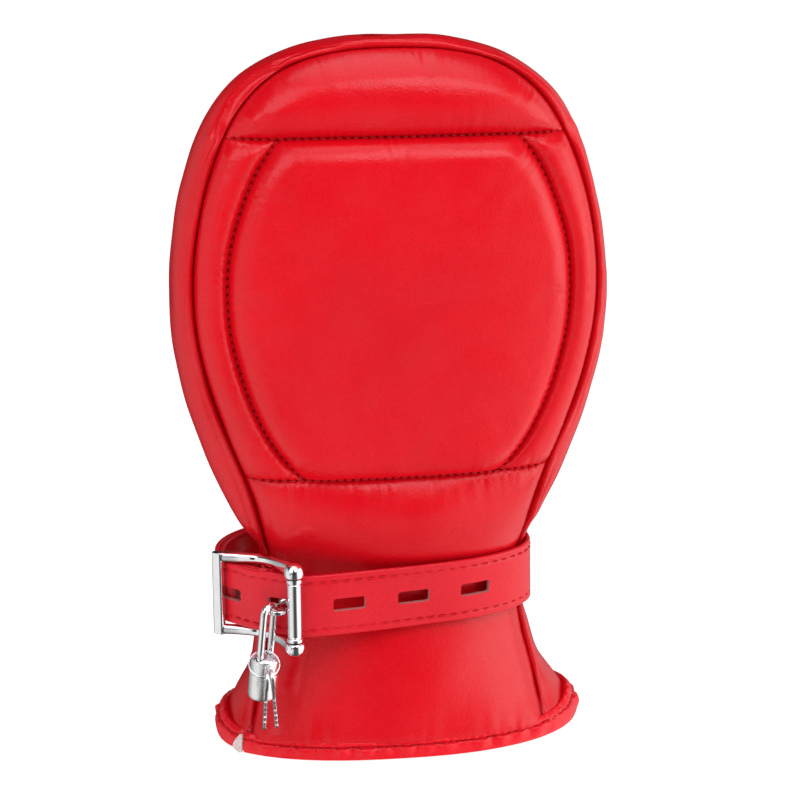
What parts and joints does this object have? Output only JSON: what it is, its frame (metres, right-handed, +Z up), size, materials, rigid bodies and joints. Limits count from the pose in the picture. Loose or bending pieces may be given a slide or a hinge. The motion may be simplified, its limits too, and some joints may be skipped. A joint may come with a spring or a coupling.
{
  "type": "padded mitt with lockable wrist strap",
  "caption": "Padded leatherette mitt that closes over the whole hand, with a flared cuff and a buckled wrist strap held by a padlock and keys.",
  "frame": {"origin": "centre of the bounding box on the surface that the cuff stands on", "axes": "+Z up from the cuff to the fingertips, -Y towards the quilted front, +X across the mitt away from the buckle"},
  "size_m": [0.174, 0.0933, 0.2812],
  "materials": {
    "leatherette": "satin, fine grain",
    "strap_leather": "satin",
    "binding": "satin, folded",
    "thread": "matt thread",
    "raw_edge": "knitted backing",
    "foam": "open-cell foam",
    "lining": "woven lining",
    "chrome": "bright plating",
    "lock_metal": "turned",
    "key_metal": "plated"
  },
  "bodies": {
    "mitt": {"front_cuff_panel": "leatherette", "front_cuff_foam": "foam", "front_centre_panel": "leatherette", "front_centre_foam": "foam", "front_left_strip_panel": "leatherette", "front_left_strip_foam": "foam", "front_right_strip_panel": "leatherette", "front_right_strip_foam": "foam", "front_top_panel": "leatherette", "front_top_foam": "foam", "back_cuff_panel": "leatherette", "back_cuff_foam": "foam", "back_centre_panel": "leatherette", "back_centre_foam": "foam", "back_left_strip_panel": "leatherette", "back_left_strip_foam": "foam", "back_right_strip_panel": "leatherette", "back_right_strip_foam": "foam", "back_top_panel": "leatherette", "back_top_foam": "foam", "gusset": "leatherette", "hem_binding": "binding", "tail_strap": "strap_leather", "buckle_strap": "strap_leather", "strap_patch": "strap_leather", "lining": "lining", "rivet_buckle_strap": "chrome", "rivet_tail_strap": "chrome"},
    "buckle": {"buckle_frame": "chrome"},
    "roller": {"buckle_roller": "chrome"},
    "tongue": {"buckle_tongue": "chrome"},
    "shackle": {"padlock_shackle": "chrome"},
    "padlock": {"padlock_body": "chrome"},
    "plug": {"padlock_plug": "lock_metal"},
    "key_ring": {"key_ring": "chrome"},
    "left_key": {"key_left": "key_metal"},
    "right_key": {"key_right": "key_metal"}
  },
  "joints": [
    {"name": "buckle_tilt", "type": "hinge", "parent": "mitt", "child": "buckle", "pos_m": [-0.05435, -0.0187, 0.0654], "axis": [0, 0, 1], "range_deg": [-1, 1.1]},
    {"name": "roller_spin", "type": "hinge", "parent": "buckle", "child": "roller", "pos_m": [-0.04486, -0.03675, 0.0654], "axis": [0, 0, 1], "continuous": true},
    {"name": "tongue_swing", "type": "hinge", "parent": "mitt", "child": "tongue", "pos_m": [-0.05435, -0.0187, 0.0654], "axis": [0, 0, 1], "range_deg": [-1, 1.5]},
    {"name": "padlock_swing", "type": "hinge", "parent": "tongue", "child": "shackle", "pos_m": [-0.05212, -0.03138, 0.0641], "axis": [-0.6561, -0.7547, 0], "range_deg": [-8, 12]},
    {"name": "shackle_lift", "type": "slide", "parent": "shackle", "child": "padlock", "axis": [-0.092, 0.08, -0.9925], "range_m": [0, 0.005]},
    {"name": "plug_turn", "type": "hinge", "parent": "padlock", "child": "plug", "pos_m": [-0.05772, -0.03114, 0.02837], "axis": [-0.092, 0.08, -0.9925], "range_deg": [0, 90]},
    {"name": "key_ring_swing", "type": "hinge", "parent": "shackle", "child": "key_ring", "pos_m": [-0.0572, -0.03321, 0.04821], "axis": [1, 0, 0], "range_deg": [-25, 0]},
    {"name": "left_key_swing", "type": "hinge", "parent": "key_ring", "child": "left_key", "pos_m": [-0.05689, -0.04278, 0.04099], "axis": [1, 0, 0], "range_deg": [-30, 0]},
    {"name": "right_key_swing", "type": "hinge", "parent": "key_ring", "child": "right_key", "pos_m": [-0.05486, -0.04241, 0.04128], "axis": [1, 0, 0], "range_deg": [-30, 0]}
  ]
}
